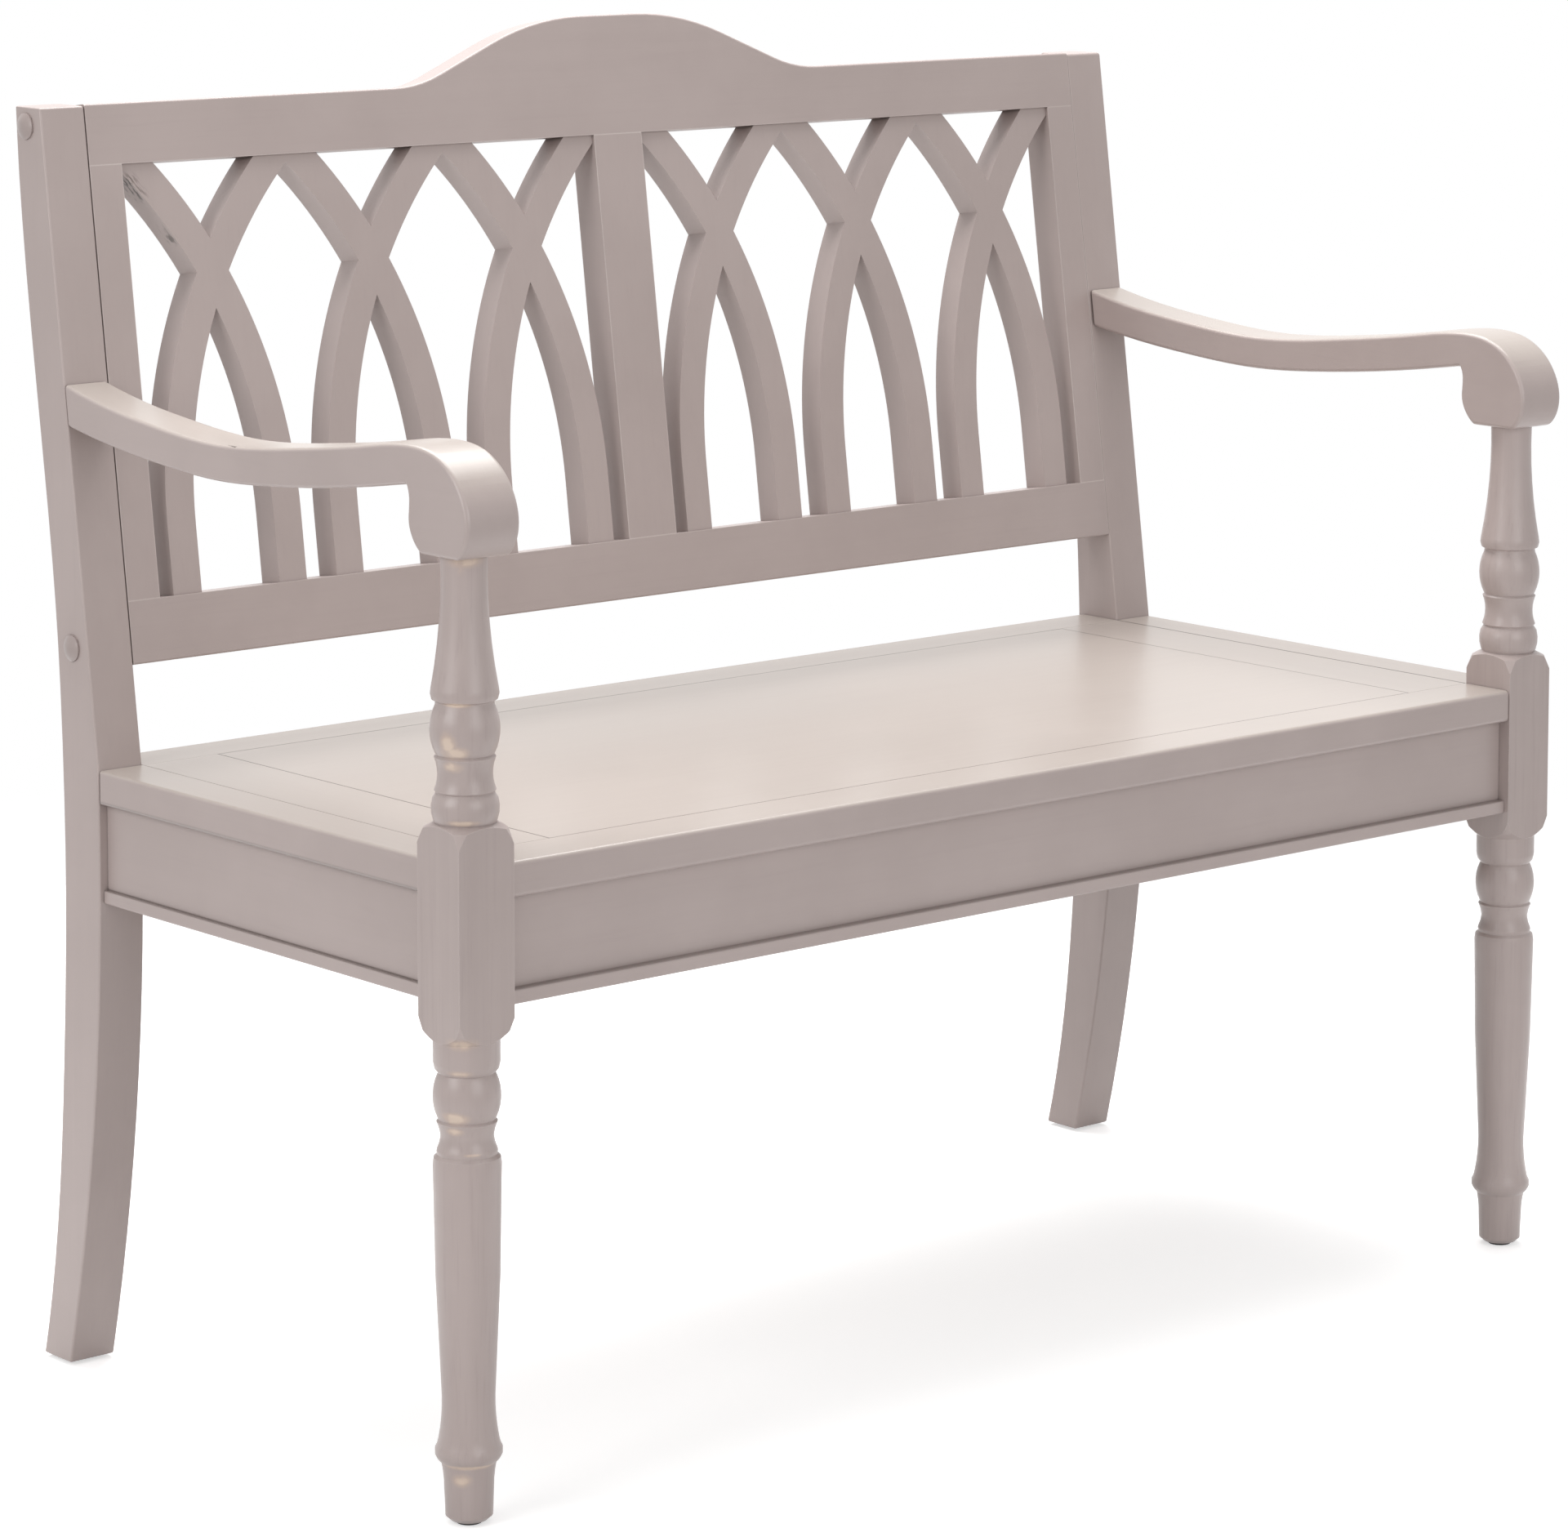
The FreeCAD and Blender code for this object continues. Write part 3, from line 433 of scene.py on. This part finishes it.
# Dark scuffs on the first lattice bars and chips at two feet of the lattice: place, reach, depth of colour
SCUFFS = (
    ((-0.4625, 0.2420, 0.8765), 0.014, 1.0), ((-0.4560, 0.2430, 0.8690), 0.014, 1.0),
    ((-0.4340, 0.2400, 0.8400), 0.010, 0.7), ((-0.4270, 0.2390, 0.8345), 0.009, 0.9),
    ((-0.4122, 0.2275, 0.8110), 0.005, 0.9), ((-0.3614, 0.1960, 0.5800), 0.005, 0.5),
    ((0.4183, 0.1960, 0.5780), 0.006, 0.5), ((-0.3720, 0.2120, 0.6900), 0.006, 0.4),
)


def leg_rubs():
    """The rubbed places as a point on the left leg with a reach up and round."""
    spots = []
    for height, turn, up, around in RUBS:
        angle = math.radians(RUB_TOWARDS + turn)
        x = -LEG_X + RUB_RADIUS * math.cos(angle)
        y = LEG_Y + RUB_RADIUS * math.sin(angle)
        spots.append(((x, y, height), up, around))
    return spots


def panel_joints():
    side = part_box("seat_stile_right")[0].x
    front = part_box("seat_front_rail")[1].y
    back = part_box("seat_back_rail")[0].y
    return (
        ("X", -side, 0.0015, 0.95), ("X", side, 0.0015, 0.95),
        ("Y", front, 0.0016, 0.6), ("Y", back, 0.0022, 0.8),
    )


# A dark joint line inside the end strip, and painted shade along the underside of the seat, darkening the
# lower rounding that would catch light.
def seat_end_joint_and_shade_lines():
    return (("X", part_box("seat_end_strip_right")[0].x, 0.0014, 0.8), ("Z", UNDER_SEAT, 0.0040, 0.45))


def board_joint_and_shade_lines(moulding, depth):
    """The dark lines where a board meets its moulding below, and where it meets the seat above, a joint line
    that also paints the shade under the seat's overhang.
    """
    return (("Z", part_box(moulding)[1].z, 0.0009, depth), ("Z", UNDER_SEAT, 0.0014, 0.5))


def dress():
    """Gives every node its material."""
    uprights = painted_wood("Painted posts", "Z", 0.36, edge_wear_and_highlight=0.8)
    turned = painted_wood("Painted turned legs", "Z", 0.33, 0.3, leg_rubs(), streaks=2.4)
    arms = painted_wood("Painted arms", "Y", 0.30, painted_top_sheen=TOP_SHEEN_SHARE)
    rails = painted_wood("Painted back rails", "X", 0.38)
    lattice = painted_wood("Painted lattice", "Z", 0.40, 0.0, scuffs=SCUFFS)
    seat = painted_wood("Painted seat", "X", 0.30, 0.0, painted_top_sheen=TOP_SHEEN_SHARE)
    panel = painted_wood("Painted seat panel", "X", 0.30, 0.0, lines=panel_joints(), painted_top_sheen=TOP_SHEEN_SHARE)
    seat_ends = painted_wood("Painted seat ends", "Y", 0.30, 0.0, lines=seat_end_joint_and_shade_lines(), painted_top_sheen=TOP_SHEEN_SHARE)
    front_lines = board_joint_and_shade_lines("front_moulding", 0.35)
    side_lines = board_joint_and_shade_lines("side_moulding_left", 0.60)
    aprons = painted_wood("Painted front boards", "X", 0.38, 0.3, lines=front_lines)
    side_boards = painted_wood("Painted side boards", "Y", 0.38, 0.3, lines=side_lines)
    covers = painted_wood("Painted bolt covers", "Z", 0.30, 0.0, painted_shade=COVER_PAINTED_SHADE)
    give(uprights, "rear_post_left", "rear_post_right", "back_stile_left", "back_stile_right", "back_mullion")
    give(turned, "front_leg_left", "front_leg_right")
    give(covers, "bolt_covers")
    give(arms, "arm_left", "arm_right")
    give(rails, "crest_rail", "lower_back_rail")
    give(lattice, *[n for n in nodes if n.startswith("lattice_bar")])
    give(seat, "seat_front_rail", "seat_back_rail")
    give(panel, "seat_panel")
    give(seat_ends, "seat_stile_left", "seat_stile_right", "seat_end_strip_left", "seat_end_strip_right")
    give(aprons, "front_apron", "back_apron", "front_moulding")
    give(side_boards, "side_apron_left", "side_apron_right", "side_moulding_left", "side_moulding_right")
    give(bare_wood("Bare wood across", "X"), "long_cleats", "corner_blocks", "arm_tenons", "lattice_tenons")
    give(bare_wood("Bare wood deep", "Y"), "end_cleats", "seat_bearer")
    give(zinc("Zinc plate"), "corner_bolts", "back_bolts", "barrel_nuts", "seat_screws")
    give(glide_plastic("Dark glides"), "floor_glides")


def ease_edges():
    """Rounds the arrises of posts, arms and rails, and shades the moulded pieces smooth."""
    def crest_top(middle, direction):
        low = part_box("crest_rail")[0]
        return middle.z > low.z + 0.02 and abs(direction.z) < 0.9 and abs(direction.y) < 0.5

    def rail_foot(middle, direction):
        return abs(direction.x) > 0.9 and middle.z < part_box("lower_back_rail")[0].z + 0.006

    for side in ("left", "right"):
        soften("rear_post_" + side, POST_ROUND)
        smooth_only("seat_stile_" + side)
        soften("arm_" + side, ARM_ROUND)
        smooth_only("front_leg_" + side, TURNED_SPLIT_ANGLE)
        smooth_only("seat_end_strip_" + side)
        smooth_only("side_moulding_" + side)
    soften("crest_rail", CREST_ROUND, crest_top)
    soften("lower_back_rail", LOWER_RAIL_ROUND, rail_foot)
    for name in nodes:
        if name.startswith("lattice_bar"):
            smooth_only(name)
    for name in ("seat_panel", "seat_front_rail", "seat_back_rail"):
        smooth_only(name)
    for name in ("front_moulding", "bolt_covers", "floor_glides"):
        smooth_only(name)


# Studio: sizes and places in metres, powers in watts
FLOOR_HALF = 3.0
FLOOR_GLOW = 0.55
FLOOR_SOLID_TO = 0.9
FLOOR_GONE_AT = 2.2
AMBIENT = 0.46
LAMP_AIM = (0.0, 0.0, 0.5)
LAMPS = (
    ("Overhead softbox", (0.3, 0.7, 3.2), 2.6, 138.0),
    ("Left softbox", (-2.35, -0.15, 1.4), 1.2, 18.0),
    ("Front softbox", (-0.4, -3.6, 1.6), 2.2, 35.0),
)


def unlit_rays(tree):
    """1 for rays that look at the background straight, by reflection or through glass, and 0 for light."""
    path = add(tree, "ShaderNodeLightPath")
    seen = maths(tree, "MAXIMUM", path.outputs["Is Camera Ray"], path.outputs["Is Glossy Ray"])
    return maths(tree, "MAXIMUM", seen, path.outputs["Is Transmission Ray"])


def build_floor():
    """A pale floor for shadows that glows in view and fades into the white background."""
    mesh = bpy.data.meshes.new("Floor")
    low, high = -FLOOR_HALF, FLOOR_HALF
    corners = [(low, low, 0), (high, low, 0), (high, high, 0), (low, high, 0)]
    mesh.from_pydata(corners, [], [(0, 1, 2, 3)])
    floor = bpy.data.objects.new("Floor", mesh)
    bpy.context.scene.collection.objects.link(floor)
    material = bpy.data.materials.new("Pale floor")
    material.use_nodes = True
    tree = material.node_tree
    tree.nodes.clear()
    output = add(tree, "ShaderNodeOutputMaterial")
    diffuse = add(tree, "ShaderNodeBsdfDiffuse")
    diffuse.inputs["Color"].default_value = FLOOR_GREY
    glow = add(tree, "ShaderNodeEmission")
    glow.inputs["Color"].default_value = WHITE
    tree.links.new(maths(tree, "MULTIPLY", unlit_rays(tree), FLOOR_GLOW), glow.inputs["Strength"])
    both = add(tree, "ShaderNodeAddShader")
    tree.links.new(diffuse.outputs["BSDF"], both.inputs[0])
    tree.links.new(glow.outputs["Emission"], both.inputs[1])
    place = add(tree, "ShaderNodeTexCoord").outputs["Object"]
    far = add(tree, "ShaderNodeVectorMath", operation="LENGTH")
    tree.links.new(place, far.inputs[0])
    clear = add(tree, "ShaderNodeBsdfTransparent")
    faded = add(tree, "ShaderNodeMixShader")
    gone = ranged(tree, far.outputs["Value"], FLOOR_SOLID_TO, FLOOR_GONE_AT)
    tree.links.new(gone, faded.inputs[0])
    tree.links.new(both.outputs["Shader"], faded.inputs[1])
    tree.links.new(clear.outputs["BSDF"], faded.inputs[2])
    tree.links.new(faded.outputs["Shader"], output.inputs["Surface"])
    mesh.materials.append(material)


def build_world():
    """White where it is seen, and dimmer where it lights the bench."""
    world = bpy.data.worlds.new("Studio")
    bpy.context.scene.world = world
    world.use_nodes = True
    tree = world.node_tree
    tree.nodes.clear()
    output = add(tree, "ShaderNodeOutputWorld")
    soft = add(tree, "ShaderNodeBackground")
    soft.inputs["Color"].default_value = WHITE
    soft.inputs["Strength"].default_value = AMBIENT
    white = add(tree, "ShaderNodeBackground")
    white.inputs["Color"].default_value = WHITE
    white.inputs["Strength"].default_value = 1.0
    mix = add(tree, "ShaderNodeMixShader")
    tree.links.new(unlit_rays(tree), mix.inputs[0])
    tree.links.new(soft.outputs[0], mix.inputs[1])
    tree.links.new(white.outputs[0], mix.inputs[2])
    tree.links.new(mix.outputs[0], output.inputs["Surface"])


def add_lamp(name, place, size, power):
    data = bpy.data.lights.new(name, "AREA")
    data.shape = "SQUARE"
    data.size = size
    data.energy = power
    lamp = bpy.data.objects.new(name, data)
    bpy.context.scene.collection.objects.link(lamp)
    lamp.location = place
    lamp.rotation_euler = (Vector(LAMP_AIM) - Vector(place)).to_track_quat("-Z", "Y").to_euler()


def build_lights():
    build_world()
    for lamp in LAMPS:
        add_lamp(*lamp)


def build_camera():
    """The camera of the photograph, placed from the bench's front."""
    data = bpy.data.cameras.new("Camera")
    data.sensor_width = SENSOR
    data.lens = FOCAL_PIXELS / IMAGE_WIDTH * SENSOR
    data.shift_x = 0.5 - PRINCIPAL_U / IMAGE_WIDTH
    data.shift_y = (PRINCIPAL_V - IMAGE_HEIGHT / 2) / IMAGE_WIDTH
    data.clip_end = 200.0
    camera = bpy.data.objects.new("Camera", data)
    bpy.context.scene.collection.objects.link(camera)
    turn = Matrix.Rotation(math.radians(-CAMERA_YAW), 4, "Z")
    tilt = Matrix.Rotation(math.radians(90.0 + CAMERA_PITCH), 4, "X")
    roll = Matrix.Rotation(math.radians(CAMERA_ROLL), 4, "Z")
    place = Matrix.Translation(CAMERA_FROM_FRONT + Vector((0.0, FRONT_Y, 0.0)))
    camera.matrix_world = place @ turn @ tilt @ roll
    bpy.context.scene.camera = camera


dress()
ease_edges()
build_floor()
build_lights()
build_camera()
bpy.context.scene.view_settings.view_transform = "Standard"
